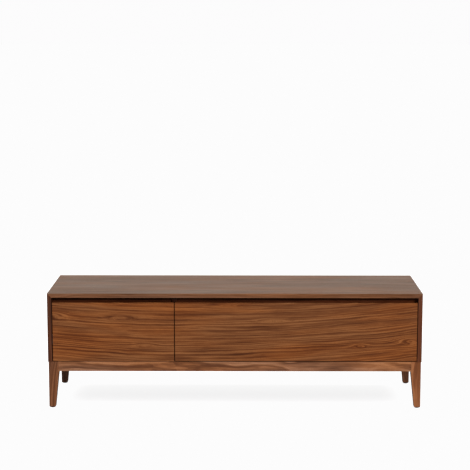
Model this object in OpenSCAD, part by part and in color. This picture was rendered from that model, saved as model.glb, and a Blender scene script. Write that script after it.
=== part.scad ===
// Low walnut console cabinet on a tapered-leg base frame.
// A drawer fills the left third, and a drop-down flap on two slotted stays fills the rest.
// The origin is at the middle of the footprint, on the floor. +X is to the right,
// -Y is towards the front and +Z is up. Millimetres.

/* [Case] */
// Width of the case
case_w = 1600; // [1400:10:1800]
// Depth of the case
case_d = 450; // [440:10:500]
// Height of the top surface above the floor
total_h = 500; // [490:5:560]
// Height of the base frame that the case stands on
base_h = 203; // [180:1:215]
// Thickness of the case boards
board_t = 18; // [16:1:20]
// Thickness of the back panels
back_t = 6; // [4:1:8]
// Distance from the case's rear edge to the back panels' outer face
back_inset = 6; // [6:1:8]

/* [Fronts] */
// Thickness of the drawer front and the flap
front_t = 18; // [16:1:20]
// Gap between a front and the side panel
side_gap = 4; // [3:0.5:5]
// Gap between the two fronts
centre_gap = 4; // [3:0.5:5]
// Gap between the fronts and the base frame
bottom_gap = 3; // [3:0.5:5]
// Height of the finger gap above the fronts
grip_gap = 22; // [18:1:26]
// Distance from the front plane to the rail behind the finger gap
rail_setback = 38; // [36:1:44]
// Height of the rails under the top panel
rail_h = 44; // [42:1:48]

/* [Base frame] */
// Distance from the case's faces to the legs' outer faces
base_inset = 2; // [1:1:10]
// Width of a leg at the top
leg_w = 42; // [40:1:50]
// Width of a leg at the foot
foot_w = 27; // [22:1:34]
// Height of the aprons
apron_h = 42; // [36:1:50]
// Thickness of the aprons and cross rails
apron_t = 20; // [18:1:22]

/* [Shelf] */
// Height of the shelf's underside above the bottom panel's top face
shelf_rise = 114; // [110:1:130]
// Depth of the shelf
shelf_d = 340; // [300:5:350]

/* [Drawer] */
// Travel of the drawer
drawer_travel = 380; // [300:10:390]
// Length of each runner
runner_len = 400; // [400:5:410]
// Thickness of the drawer box's sides, back and inner front
drawer_t = 15; // [12:1:16]
// Height of the drawer box
drawer_h = 190; // [150:5:195]

/* [Flap] */
// Radius of the circle through the stays' two pivots, about the hinge axis
stay_r = 110; // [108:1:112]
// Length of each hinge
hinge_w = 60; // [50:1:70]

/* [Hidden] */

$fn = 48;
walnut = [0.47, 0.30, 0.18];
walnut_dark = [0.36, 0.22, 0.13];
birch = [0.80, 0.69, 0.52];
steel = [0.72, 0.73, 0.75];
black_plastic = [0.08, 0.08, 0.09];
eps = 0.5;                              // overshoot of a cutting solid

// Case
half_w = case_w / 2;
front_y = -case_d / 2;
rear_y = case_d / 2;
inner_x = half_w - board_t;
under_top = total_h - board_t;
floor_z = base_h + board_t;             // top face of the bottom panel
seat_gap = 2;                           // from a front's inner face to the boards behind it
board_front_y = front_y + front_t + seat_gap;
back_y = [rear_y - back_inset - back_t, rear_y - back_inset];
rebate = board_t / 2;
left_bay = (2 * inner_x - board_t) / 3;
partition_x = [-inner_x + left_bay, -inner_x + left_bay + board_t];
seam_x = partition_x[0] + board_t / 2;
bay_mid_x = (partition_x[1] + inner_x) / 2;
rail_y = [front_y + rail_setback, front_y + rail_setback + board_t];
rear_rail_y = [back_y[0] - board_t, back_y[0]];
rail_z = [under_top - rail_h, under_top];
dowel_r = 4;
dowel_y = [-150, -50, 50, 150];
side_dowel_reach = [18, 12];            // into the bottom panel, and into a side panel
end_dowel_reach = [10, 20];             // into a board's face, and into the partition
spline_w = 12;
spline_t = 4;
spline_rear_gap = 8;
outlet_r = 30;
outlet_x = [bay_mid_x - 250, bay_mid_x + 250];
outlet_z = floor_z + 57;
grommet_wall = 3;
grommet_lip = [5, 2.5];                 // beyond the sleeve, and thickness
grommet_sleeve = 4;                     // inside the back panel
back_screw_r = 1.5;
back_screw_head = 1.8;
back_screw_depth = 12;                  // into the boards behind the back panels
back_screw_rise = [60, 150, 240];       // up the sides, above the case's underside
partition_screw_rise = [80, 220];
back_screw_end = 120;                   // from the end of a row

// Fronts
front_y_span = [front_y, front_y + front_t];
front_z = [base_h + bottom_gap, under_top - grip_gap];
drawer_front_x = [-inner_x + side_gap, seam_x - centre_gap / 2];
flap_x = [seam_x + centre_gap / 2, inner_x - side_gap];
grip_bevel = 9;

// Base frame
leg_out_x = half_w - base_inset;
leg_out_y = -front_y - base_inset;
apron_z = [base_h - apron_h, base_h];
apron_reveal = 2;                       // apron faces behind the leg faces
apron_out_x = leg_out_x - apron_reveal;
apron_out_y = leg_out_y - apron_reveal;
apron_in_x = apron_out_x - apron_t;
apron_in_y = apron_out_y - apron_t;
leg_in_x = leg_out_x - leg_w;
leg_in_y = leg_out_y - leg_w;
fillet_r = 8;
foot_chamfer = 4;
glide_t = 2;
glide_r = 9;
tenon_l = 12;
tenon_t = 8;
tenon_z = [apron_z[0] + 6, apron_z[1] - 6];
glide_nail_r = 1.5;
glide_nail_top = 18;
block_reach = 58;                       // corner block, beyond the leg, along each apron
block_rise = 4;                         // blocks and cross rails above the aprons' underside
base_screw_r = 2.5;
base_screw_head = 2.5;
base_screw_grip = 12;                   // into the bottom panel
corner_screw_in = [4, 14];              // from the leg's inner edges, along X and Y
rail_screw_in = 60;                     // from the apron's inner face
cross_rail_x = -seam_x;                 // left and right cross rails lie at -/+ this

// Shelf
shelf_z = floor_z + shelf_rise;
shelf_rear_gap = 18;
shelf_y = [back_y[0] - shelf_rear_gap - shelf_d, back_y[0] - shelf_rear_gap];
shelf_end_gap = 1;
shelf_pin_r = 2.5;
shelf_pin_depth = 9;
shelf_tab = [9, 12, 5];                 // the flat that the shelf rests on
shelf_pin_in = 40;
shelf_pin_y = [shelf_y[0] + shelf_pin_in, shelf_y[1] - shelf_pin_in];
shelf_pin_step = 32;

// Drawer and its runners
runner_t = 12.7;                        // gap that one runner fills
runner_h = 45;
sheet_t = 1.2;                          // steel of the runner members
lip_h = 3.2;                            // turned edge of the case member
case_member_x = [0, 10.5];              // from web to open side, off the bay's wall
middle_member_x = [2, 11];
drawer_member_x = [runner_t, 4.2];
runner_start = 4;                       // behind the drawer front
runner_y = [front_y + front_t + runner_start, front_y + front_t + runner_start + runner_len];
drawer_rise = 14;                       // drawer box above the bottom panel
drawer_z = [floor_z + drawer_rise, floor_z + drawer_rise + drawer_h];
runner_z = drawer_z[0] + 60;
drawer_x = [-inner_x + runner_t, partition_x[0] - runner_t];
drawer_y = [front_y + front_t, front_y + front_t + runner_len];
groove = 6;
drawer_bottom_z = [drawer_z[0] + 10, drawer_z[0] + 16];
drawer_screw_r = 2;
drawer_screw_head = 2;
drawer_screw_tip = 6;                   // from the drawer front's face
drawer_screw_in = 80;                   // from the box's sides
drawer_screw_z = [drawer_z[0] + 45, drawer_z[1] - 35];
middle_h = 33.8;                        // height of the middle member
inner_h = 22;                           // height of the drawer member
cage_len = 120;
cage_w = 4.4;
cage_t = 0.6;
cage_start = 13;                        // behind the runner's front end
outer_cage_x = 5.6;
inner_cage_x = 7.6;
balls_per_cage = 8;
ball_r = 1.85;

// Flap hinge: the axis runs along X inside the flap's lower edge
hinge_y = front_y + 6;
hinge_z = front_z[0] + 4;
knuckle_r = 3.2;
hinge_pin_r = 1.5;
hinge_clear = 0.06;                     // round the pin, in the flap's knuckle
hinge_end = 120;                        // from the flap's end to the outer hinges
hinge_x = [flap_x[0] + hinge_end, bay_mid_x, flap_x[1] - hinge_end];
notch_y = front_y + 2;
notch_z = hinge_z + 6;
knuckle_half = hinge_w / 4;             // half of the middle knuckle
knuckle_gap = 0.3;
leaf_t = 2;
leaf_h = 30;
leaf_neck = 1.6;                        // half thickness between leaf and knuckle
notch_gap = 0.5;                        // beside the hinge, in the flap's notch
case_leaf_y = [board_front_y - 1.5, board_front_y];
leaf_screw_x = [-hinge_w / 2 + 8, hinge_w / 2 - 8];
leaf_screw_r = 1.3;
leaf_screw_l = 13;
flap_screw_tip = 7;                     // from the flap's face
edge_r = 3;                             // rounding that lets the flap clear the base

// Flap stays: pivot on the flap and pin on the case lie on one circle about the hinge,
// so an arm turns half as far as the flap and its slot always passes through the pin.
stay_pivot_off = 8;                     // pivot to the flap's inner face
stay_pivot_dy = front_y + front_t + stay_pivot_off - hinge_y;
stay_pivot_angle = acos(stay_pivot_dy / stay_r);
stay_pin_angle = 60;
stay_pivot = [hinge_y + stay_pivot_dy, hinge_z + stay_r * sin(stay_pivot_angle)];
stay_pin = [hinge_y + stay_r * cos(stay_pin_angle), hinge_z + stay_r * sin(stay_pin_angle)];
stay_arm_angle = (stay_pivot_angle + stay_pin_angle) / 2 - 90;
slot_near = 2 * stay_r * sin((stay_pivot_angle - stay_pin_angle) / 2);
slot_far = 2 * stay_r * sin((stay_pivot_angle + 90 - stay_pin_angle) / 2);
slot_spare = 0.5;
arm_half = 7;
arm_t = 2.5;
arm_in = inner_x - 12.6;                // inner face of the right-hand arm
ear_t = 2.5;
ear_out = arm_in - 0.4;
bracket_w = 24;
bracket_t = 2;
bracket_half_h = 14;
stay_play = 0.3;                        // beside the arm, on its rivet and its pin
rivet_r = 2.5;
rivet_head = [4.5, 1.5];                // radius and thickness
pin_r = 3.7;
pin_root = 9;                           // into the bay's wall
pin_head = [6.5, 1.7];
arm_out = arm_in + arm_t + stay_play;   // where the rivet's head and the pin's collar start
slot_r = 4;

// Catch
catch_w = 46;
catch_z = [rail_z[0], rail_z[0] + 12];
strike_t = 1.5;
magnet_in = 8;                          // from the housing's ends
magnet_gap = 0.4;                       // to the strike plate
magnet_back = 5;                        // housing behind the magnet
magnet_wall = 3;                        // housing above and below the magnet

// Pads between the partition and the fronts
pad_r = 3;
pad_in = 3.4;                           // from the partition's faces
pad_gap = 0.4;
pad_z = [floor_z + 22, front_z[1] - 40];

// Box from three [low, high] spans
module block(x, y, z) {
    translate([x[0], y[0], z[0]]) cube([x[1] - x[0], y[1] - y[0], z[1] - z[0]]);
}

// Outline drawn in X and Z, extruded over a span of Y
module along_y(y) {
    translate([0, y[1], 0]) rotate([90, 0, 0]) linear_extrude(y[1] - y[0]) children();
}

// Outline drawn in Y and Z, extruded over a span of X
module along_x(x) {
    translate([x[0], 0, 0]) rotate([90, 0, 90]) linear_extrude(x[1] - x[0]) children();
}

// Round bar along X, Y or Z, over a span, at the other two coordinates
module rod_x(x, y, z, r) {
    translate([x[0], y, z]) rotate([0, 90, 0]) cylinder(h = x[1] - x[0], r = r);
}
module rod_y(x, y, z, r) {
    translate([x, y[1], z]) rotate([90, 0, 0]) cylinder(h = y[1] - y[0], r = r);
}
module rod_z(x, y, z, r) {
    translate([x, y, z[0]]) cylinder(h = z[1] - z[0], r = r);
}

// Copies for the left (-1) or right (1) side of the whole cabinet, or of the flap's bay
module on_side(side) { mirror([side < 0 ? 1 : 0, 0, 0]) children(); }
module on_bay_side(side) {
    translate([side < 0 ? 2 * bay_mid_x : 0, 0, 0]) on_side(side) children();
}
// The same for the left (-1) or right (1) wall of the drawer's bay, drawn at the left wall
module on_drawer_side(side) {
    translate([side > 0 ? partition_x[0] - inner_x : 0, 0, 0])
        mirror([side > 0 ? 1 : 0, 0, 0]) children();
}
// Turns what is drawn at the front left corner to any corner
module at_corner(side, end) {
    mirror([side > 0 ? 1 : 0, 0, 0]) mirror([0, end > 0 ? 1 : 0, 0]) children();
}

// ---- Positions that several pieces share ----

// Back panel screws, at y = 0
module at_back_screws() {
    for (side = [-1, 1], rise = back_screw_rise)
        translate([side * (inner_x + rebate / 2), 0, base_h + rise]) children();
    for (x = [-inner_x + back_screw_end, seam_x - back_screw_end, seam_x + back_screw_end,
              bay_mid_x, inner_x - back_screw_end],
         z = [base_h + board_t / 2, under_top + rebate / 2])
        translate([x, 0, z]) children();
    for (x = [seam_x - board_t / 4, seam_x + board_t / 4], rise = partition_screw_rise)
        translate([x, 0, base_h + rise]) children();
}

module back_screw_shanks(grow = 0) {
    at_back_screws()
        rod_y(0, [back_y[0] - back_screw_depth, back_y[1] + grow], 0, back_screw_r);
}

module splines() {
    for (side = [-1, 1])
        along_y([board_front_y, back_y[0] - spline_rear_gap])
            translate([side * (half_w - board_t / 2), total_h - board_t / 2])
                rotate(side < 0 ? 45 : -45) square([spline_w, spline_t], center = true);
}

module side_dowels() {
    for (side = [-1, 1], y = dowel_y)
        on_side(side) rod_x([inner_x - side_dowel_reach[0], inner_x + side_dowel_reach[1]],
                            y, base_h + board_t / 2, dowel_r);
}

module partition_dowels() {
    for (y = [dowel_y[0], 0, dowel_y[3]]) {
        rod_z(seam_x, y, [floor_z - end_dowel_reach[0], floor_z + end_dowel_reach[1]], dowel_r);
        rod_z(seam_x, y, [under_top - end_dowel_reach[1], under_top + end_dowel_reach[0]],
              dowel_r);
    }
}

// Screws that pull the base frame up against the case
module at_base_screws() {
    for (side = [-1, 1], end = [-1, 1])
        translate([side * (leg_in_x - corner_screw_in[0]),
                   end * (leg_in_y - corner_screw_in[1]), 0]) children();
    for (side = [-1, 1], end = [-1, 1])
        translate([side * cross_rail_x, end * (apron_in_y - rail_screw_in), 0]) children();
}

module base_screw_shanks(grow = 0) {
    at_base_screws() rod_z(0, 0, [apron_z[0] + block_rise - grow, base_h + base_screw_grip],
                           base_screw_r);
}

// Shelf pins, and the rows of holes that they can be moved to
module at_shelf_pins() {
    for (side = [-1, 1], y = shelf_pin_y)
        on_bay_side(side) translate([inner_x, y, shelf_z]) children();
}

module shelf_pin_holes() {
    at_shelf_pins()
        for (step = [-2 : 2])
            rod_x([-eps, shelf_pin_depth], 0, step * shelf_pin_step - shelf_tab[2] / 2,
                  shelf_pin_r);
}

// Screws through the hinge leaves
module hinge_case_screw_shanks() {
    for (x = hinge_x, dx = leaf_screw_x)
        rod_y(x + dx, [case_leaf_y[0], case_leaf_y[0] + leaf_screw_l], base_h + board_t / 2,
              leaf_screw_r);
}

module hinge_flap_screw_shanks() {
    for (x = hinge_x, dx = leaf_screw_x)
        rod_y(x + dx, [front_y + flap_screw_tip, front_y_span[1]], notch_z + leaf_h * 2 / 3,
              leaf_screw_r);
}

// Screws through the drawer's inner front into the drawer front
module at_drawer_screws() {
    for (x = [drawer_x[0] + drawer_screw_in, drawer_x[1] - drawer_screw_in], z = drawer_screw_z)
        translate([x, 0, z]) children();
}

module drawer_screw_shanks() {
    at_drawer_screws()
        rod_y(0, [front_y + drawer_screw_tip, drawer_y[0] + drawer_t], 0, drawer_screw_r);
}

// Root of a stay's pin, let into the wall of the flap's bay
module stay_pin_roots() {
    for (side = [-1, 1])
        on_bay_side(side) rod_x([inner_x, inner_x + pin_root], stay_pin[0], stay_pin[1], pin_r);
}

// Tenons on the aprons' ends, which the legs are cut for
module apron_tenons() {
    for (side = [-1, 1], end = [-1, 1]) at_corner(side, end) {
        block([-leg_in_x - tenon_l, -leg_in_x],
              [-apron_out_y + (apron_t - tenon_t) / 2, -apron_out_y + (apron_t + tenon_t) / 2],
              tenon_z);
        block([-apron_out_x + (apron_t - tenon_t) / 2, -apron_out_x + (apron_t + tenon_t) / 2],
              [-leg_in_y - tenon_l, -leg_in_y], tenon_z);
    }
}

// ---- Case ----

module top_panel() {
    color(walnut) difference() {
        along_y([front_y, rear_y]) polygon([
            [-half_w, total_h], [-inner_x, under_top], [inner_x, under_top], [half_w, total_h]]);
        block([-inner_x - rebate, inner_x + rebate], [back_y[0], rear_y + eps],
              [under_top - eps, under_top + rebate]);
        splines();
        partition_dowels();
        back_screw_shanks();
    }
}

module side_panel(side) {
    color(walnut) difference() {
        along_y([front_y, rear_y]) polygon([
            [side * inner_x, base_h], [side * half_w, base_h],
            [side * half_w, total_h], [side * inner_x, under_top]]);
        on_side(side) block([inner_x - eps, inner_x + rebate], [back_y[0], rear_y + eps],
                            [base_h - eps, under_top + rebate]);
        splines();
        side_dowels();
        back_screw_shanks();
        shelf_pin_holes();
        stay_pin_roots();
    }
}

module left_side_panel() { side_panel(-1); }
module right_side_panel() { side_panel(1); }

module bottom_panel() {
    color(walnut_dark) difference() {
        block([-inner_x, inner_x], [board_front_y, back_y[0]], [base_h, floor_z]);
        side_dowels();
        partition_dowels();
        back_screw_shanks();
        base_screw_shanks();
        hinge_case_screw_shanks();
    }
}

module centre_partition() {
    color(walnut_dark) difference() {
        block(partition_x, [board_front_y, back_y[0]], [floor_z, under_top]);
        partition_dowels();
        back_screw_shanks();
        shelf_pin_holes();
        stay_pin_roots();
    }
}

module back_panel(x, outlets) {
    color(walnut_dark) difference() {
        block(x, back_y, [base_h, under_top + rebate]);
        back_screw_shanks(eps);
        for (outlet = outlets)
            rod_y(outlet, [back_y[0] - eps, back_y[1] + eps], outlet_z, outlet_r);
    }
}

module back_panel_left() { back_panel([-inner_x - rebate, seam_x], []); }
module back_panel_right() { back_panel([seam_x, inner_x + rebate], outlet_x); }

module back_panel_screws() {
    color(steel) {
        back_screw_shanks();
        at_back_screws() rod_y(0, [back_y[1], back_y[1] + back_screw_head], 0, 2 * back_screw_r);
    }
}

module rail(x, y) { color(walnut_dark) block(x, y, rail_z); }

module front_rail_left() { rail([-inner_x, partition_x[0]], rail_y); }
module front_rail_right() { rail([partition_x[1], inner_x], rail_y); }
module rear_rail_left() { rail([-inner_x, partition_x[0]], rear_rail_y); }
module rear_rail_right() { rail([partition_x[1], inner_x], rear_rail_y); }

module mitre_splines() { color(birch) splines(); }

module case_dowels() {
    color(birch) {
        side_dowels();
        partition_dowels();
    }
}

module shelf() {
    color(walnut) block([partition_x[1] + shelf_end_gap, inner_x - shelf_end_gap],
                        shelf_y, [shelf_z, shelf_z + board_t]);
}

module shelf_pins() {
    color(steel) at_shelf_pins() {
        rod_x([0, shelf_pin_depth], 0, -shelf_tab[2] / 2, shelf_pin_r);
        block([-shelf_tab[0], 0], [-shelf_tab[1] / 2, shelf_tab[1] / 2], [-shelf_tab[2], 0]);
    }
}

module cable_grommets() {
    color(black_plastic) for (x = outlet_x) difference() {
        union() {
            rod_y(x, [back_y[0] - grommet_sleeve, back_y[1]], outlet_z, outlet_r);
            rod_y(x, [back_y[1], back_y[1] + grommet_lip[1]], outlet_z, outlet_r + grommet_lip[0]);
        }
        rod_y(x, [back_y[0] - 2 * grommet_sleeve, back_y[1] + 2 * grommet_lip[1]], outlet_z,
              outlet_r - grommet_wall);
    }
}

// ---- Base frame ----

// One leg: square at the top, and tapered on its two inner faces below the apron
module leg(side, end) {
    shoulder_z = apron_z[0] - fillet_r;
    color(walnut) difference() {
        at_corner(side, end) intersection() {
            along_y([-leg_out_y, -leg_in_y]) leg_outline(-leg_out_x, shoulder_z);
            along_x([-leg_out_x, -leg_in_x]) leg_outline(-leg_out_y, shoulder_z);
        }
        apron_tenons();
        at_corner(side, end) rod_z(-leg_out_x + foot_w / 2, -leg_out_y + foot_w / 2,
                                   [0, glide_nail_top], glide_nail_r);
    }
}

// Outline of a leg from its outer face at the coordinate given
module leg_outline(out, shoulder_z) {
    polygon([
        [out, base_h], [out, glide_t + foot_chamfer], [out + foot_chamfer, glide_t],
        [out + foot_w - foot_chamfer, glide_t], [out + foot_w, glide_t + foot_chamfer],
        [out + leg_w, shoulder_z], [out + leg_w, base_h]]);
}

module leg_front_left() { leg(-1, -1); }
module leg_front_right() { leg(1, -1); }
module leg_rear_left() { leg(-1, 1); }
module leg_rear_right() { leg(1, 1); }

module leg_glides() {
    color(black_plastic) for (side = [-1, 1], end = [-1, 1]) at_corner(side, end) {
        rod_z(-leg_out_x + foot_w / 2, -leg_out_y + foot_w / 2, [0, glide_t], glide_r);
        rod_z(-leg_out_x + foot_w / 2, -leg_out_y + foot_w / 2, [glide_t, glide_nail_top],
              glide_nail_r);
    }
}

// Front or rear apron, with a tenon and a small hollow fillet under each end
module long_apron(end) {
    color(walnut) at_corner(-1, end) {
        block([-leg_in_x, leg_in_x], [-apron_out_y, -apron_in_y], apron_z);
        for (side = [-1, 1]) on_side(side) {
            block([leg_in_x, leg_in_x + tenon_l],
                  [-apron_out_y + (apron_t - tenon_t) / 2, -apron_out_y + (apron_t + tenon_t) / 2],
                  tenon_z);
            difference() {
                block([leg_in_x - fillet_r, leg_in_x], [-apron_out_y, -apron_in_y],
                      [apron_z[0] - fillet_r, apron_z[0]]);
                rod_y(leg_in_x - fillet_r, [-apron_out_y - eps, -apron_in_y + eps],
                      apron_z[0] - fillet_r, fillet_r);
            }
        }
    }
}

// Left or right apron, made in the same way
module short_apron(side) {
    color(walnut) at_corner(side, -1) {
        block([-apron_out_x, -apron_in_x], [-leg_in_y, leg_in_y], apron_z);
        for (end = [-1, 1]) mirror([0, end > 0 ? 1 : 0, 0]) {
            block([-apron_out_x + (apron_t - tenon_t) / 2, -apron_out_x + (apron_t + tenon_t) / 2],
                  [-leg_in_y - tenon_l, -leg_in_y], tenon_z);
            difference() {
                block([-apron_out_x, -apron_in_x], [-leg_in_y, -leg_in_y + fillet_r],
                      [apron_z[0] - fillet_r, apron_z[0]]);
                rod_x([-apron_out_x - eps, -apron_in_x + eps], -leg_in_y + fillet_r,
                      apron_z[0] - fillet_r, fillet_r);
            }
        }
    }
}

module front_apron() { long_apron(-1); }
module rear_apron() { long_apron(1); }
module left_apron() { short_apron(-1); }
module right_apron() { short_apron(1); }

module corner_blocks() {
    color(birch) difference() {
        for (side = [-1, 1], end = [-1, 1]) at_corner(side, end)
            translate([0, 0, apron_z[0] + block_rise]) linear_extrude(apron_h - block_rise) polygon([
                [-leg_in_x, -apron_in_y], [-leg_in_x, -leg_in_y], [-apron_in_x, -leg_in_y],
                [-apron_in_x, -leg_in_y + block_reach], [-leg_in_x + block_reach, -apron_in_y]]);
        base_screw_shanks(eps);
    }
}

module cross_rail(side) {
    color(walnut_dark) difference() {
        on_side(side) block([cross_rail_x - apron_t / 2, cross_rail_x + apron_t / 2],
                            [-apron_in_y, apron_in_y], [apron_z[0] + block_rise, base_h]);
        base_screw_shanks(eps);
    }
}

module cross_rail_left() { cross_rail(-1); }
module cross_rail_right() { cross_rail(1); }

module base_screws() {
    color(steel) {
        base_screw_shanks();
        at_base_screws()
            rod_z(0, 0, [apron_z[0] + block_rise - base_screw_head, apron_z[0] + block_rise],
                  2 * base_screw_r);
    }
}

// ---- Drawer runners: three telescoping members on each side ----

// Channel section in X and Z: a web at x[0] and two flanges that reach from it to x[1]
module channel(x, half_h) {
    web = x[1] > x[0] ? [x[0], x[0] + sheet_t] : [x[0] - sheet_t, x[0]];
    span = [min(x), max(x)];
    block(web, runner_y, [-half_h, half_h]);
    for (up = [-1, 1]) mirror([0, 0, up < 0 ? 1 : 0])
        block(span, runner_y, [half_h - sheet_t, half_h]);
}

module at_runner(side) {
    on_drawer_side(side) translate([-inner_x, 0, runner_z]) children();
}

module runner_case_member(side) {
    color(steel) at_runner(side) {
        channel(case_member_x, runner_h / 2);
        for (up = [-1, 1]) mirror([0, 0, up < 0 ? 1 : 0])
            block([case_member_x[1] - sheet_t, case_member_x[1]], runner_y,
                  [runner_h / 2 - lip_h, runner_h / 2]);
    }
}

module runner_middle_member(side) {
    color(steel) at_runner(side) channel(middle_member_x, middle_h / 2);
}

module runner_drawer_member(side) {
    color(steel) at_runner(side) channel(drawer_member_x, inner_h / 2);
}

// Ball cages: the outer pair runs in the case member, the inner pair on the drawer member
module runner_ball_cages(side) {
    outer_z = (runner_h / 2 - sheet_t + middle_h / 2) / 2;
    inner_z = (middle_h / 2 - sheet_t + inner_h / 2) / 2;
    front = runner_y[0] + cage_start;
    color(steel) at_runner(side) for (up = [-1, 1]) mirror([0, 0, up < 0 ? 1 : 0]) {
        ball_cage(outer_cage_x, outer_z, front + drawer_travel / 2);
        ball_cage(inner_cage_x, inner_z, front);
    }
}

module ball_cage(x, z, front) {
    block([x - cage_w / 2, x + cage_w / 2], [front, front + cage_len],
          [z - cage_t / 2, z + cage_t / 2]);
    for (ball = [0 : balls_per_cage - 1])
        translate([x, front + (ball + 0.5) * cage_len / balls_per_cage, z]) sphere(r = ball_r);
}

module runner_case_member_left() { runner_case_member(-1); }
module runner_case_member_right() { runner_case_member(1); }
module runner_middle_member_left() { runner_middle_member(-1); }
module runner_middle_member_right() { runner_middle_member(1); }
module runner_drawer_member_left() { runner_drawer_member(-1); }
module runner_drawer_member_right() { runner_drawer_member(1); }
module runner_ball_cages_left() { runner_ball_cages(-1); }
module runner_ball_cages_right() { runner_ball_cages(1); }

// ---- Drawer ----

// A front board: a bevel along its inner top edge leaves room for the fingers
module front_board(x) {
    along_x(x) polygon([
        [front_y, front_z[0]], [front_y_span[1], front_z[0]],
        [front_y_span[1], front_z[1] - grip_bevel], [front_y_span[1] - grip_bevel, front_z[1]],
        [front_y, front_z[1]]]);
}

module drawer_front() {
    color(walnut) difference() {
        front_board(drawer_front_x);
        drawer_screw_shanks();
    }
}

// The bottom's panel, which sits in a groove all round the drawer box
module drawer_bottom() {
    color(birch) block([drawer_x[0] + drawer_t - groove, drawer_x[1] - drawer_t + groove],
                       [drawer_y[0] + drawer_t - groove, drawer_y[1] - drawer_t + groove],
                       drawer_bottom_z);
}

module drawer_side(side) {
    color(birch) difference() {
        on_drawer_side(side) block([-inner_x + runner_t, -inner_x + runner_t + drawer_t],
                                   drawer_y, drawer_z);
        drawer_bottom();
    }
}

module drawer_side_left() { drawer_side(-1); }
module drawer_side_right() { drawer_side(1); }

module drawer_end(y) {
    color(birch) difference() {
        block([drawer_x[0] + drawer_t, drawer_x[1] - drawer_t], y, drawer_z);
        drawer_bottom();
        drawer_screw_shanks();
    }
}

module drawer_sub_front() { drawer_end([drawer_y[0], drawer_y[0] + drawer_t]); }
module drawer_back() { drawer_end([drawer_y[1] - drawer_t, drawer_y[1]]); }

module drawer_front_screws() {
    color(steel) {
        drawer_screw_shanks();
        at_drawer_screws()
            rod_y(0, [drawer_y[0] + drawer_t, drawer_y[0] + drawer_t + drawer_screw_head],
                  0, 2 * drawer_screw_r);
    }
}

// ---- Flap and its hinges ----

module flap_door() {
    color(walnut) difference() {
        front_board(flap_x);
        difference() {
            block([flap_x[0] - eps, flap_x[1] + eps], [front_y - eps, front_y + edge_r],
                  [front_z[0] - eps, front_z[0] + edge_r]);
            rod_x([flap_x[0] - 2 * eps, flap_x[1] + 2 * eps], front_y + edge_r,
                  front_z[0] + edge_r, edge_r);
        }
        for (x = hinge_x) {
            block([x - hinge_w / 2 - notch_gap, x + hinge_w / 2 + notch_gap],
                  [notch_y, front_y_span[1] + eps], [front_z[0] - eps, notch_z]);
            block([x - hinge_w / 2, x + hinge_w / 2],
                  [front_y_span[1] - leaf_t, front_y_span[1] + eps],
                  [notch_z - eps, notch_z + leaf_h]);
        }
        hinge_flap_screw_shanks();
    }
}

// Leaf let into the flap's inner face, with the hinge's middle knuckle
module hinge_flap_leaves() {
    color(steel) for (x = hinge_x) difference() {
        union() {
            block([x - hinge_w / 2, x + hinge_w / 2],
                  [front_y_span[1] - leaf_t, front_y_span[1]], [notch_z, notch_z + leaf_h]);
            block([x - knuckle_half, x + knuckle_half],
                  [hinge_y - leaf_neck, front_y_span[1]], [notch_z - 1.5, notch_z]);
            block([x - knuckle_half, x + knuckle_half],
                  [hinge_y - leaf_neck, hinge_y + leaf_neck], [hinge_z, notch_z]);
            rod_x([x - knuckle_half, x + knuckle_half], hinge_y, hinge_z, knuckle_r);
        }
        rod_x([x - hinge_w / 2, x + hinge_w / 2], hinge_y, hinge_z, hinge_pin_r + hinge_clear);
        hinge_flap_screw_shanks();
    }
}

// Leaf on the bottom panel's front edge, with the two outer knuckles
module hinge_case_leaves() {
    color(steel) for (x = hinge_x) difference() {
        union() {
            block([x - hinge_w / 2, x + hinge_w / 2], case_leaf_y, [front_z[0], floor_z - 1]);
            for (side = [-1, 1]) {
                ends = side < 0 ? [x - hinge_w / 2, x - knuckle_half - knuckle_gap]
                                : [x + knuckle_half + knuckle_gap, x + hinge_w / 2];
                block(ends, [hinge_y, case_leaf_y[0]], [hinge_z - 1, hinge_z + 1]);
                rod_x(ends, hinge_y, hinge_z, knuckle_r);
            }
        }
        rod_x([x - hinge_w, x + hinge_w], hinge_y, hinge_z, hinge_pin_r);
        hinge_case_screw_shanks();
    }
}

module hinge_pins() {
    color(steel) for (x = hinge_x)
        rod_x([x - hinge_w / 2, x + hinge_w / 2], hinge_y, hinge_z, hinge_pin_r);
}

module hinge_flap_screws() { color(steel) hinge_flap_screw_shanks(); }
module hinge_case_screws() { color(steel) hinge_case_screw_shanks(); }

// ---- Flap stays ----

module stay_brackets() {
    color(steel) for (side = [-1, 1]) on_bay_side(side) difference() {
        union() {
            block([ear_out - bracket_w, ear_out], [front_y_span[1], front_y_span[1] + bracket_t],
                  [stay_pivot[1] - bracket_half_h, stay_pivot[1] + bracket_half_h]);
            block([ear_out - ear_t, ear_out], [front_y_span[1], stay_pivot[0]],
                  [stay_pivot[1] - arm_half, stay_pivot[1] + arm_half]);
            rod_x([ear_out - ear_t, ear_out], stay_pivot[0], stay_pivot[1], arm_half);
        }
        rod_x([ear_out - ear_t - eps, ear_out + eps], stay_pivot[0], stay_pivot[1], rivet_r);
    }
}

module stay_rivets() {
    color(steel) for (side = [-1, 1]) on_bay_side(side) {
        rod_x([ear_out - ear_t, arm_out], stay_pivot[0], stay_pivot[1], rivet_r);
        rod_x([arm_out, arm_out + rivet_head[1]], stay_pivot[0], stay_pivot[1], rivet_head[0]);
    }
}

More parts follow.
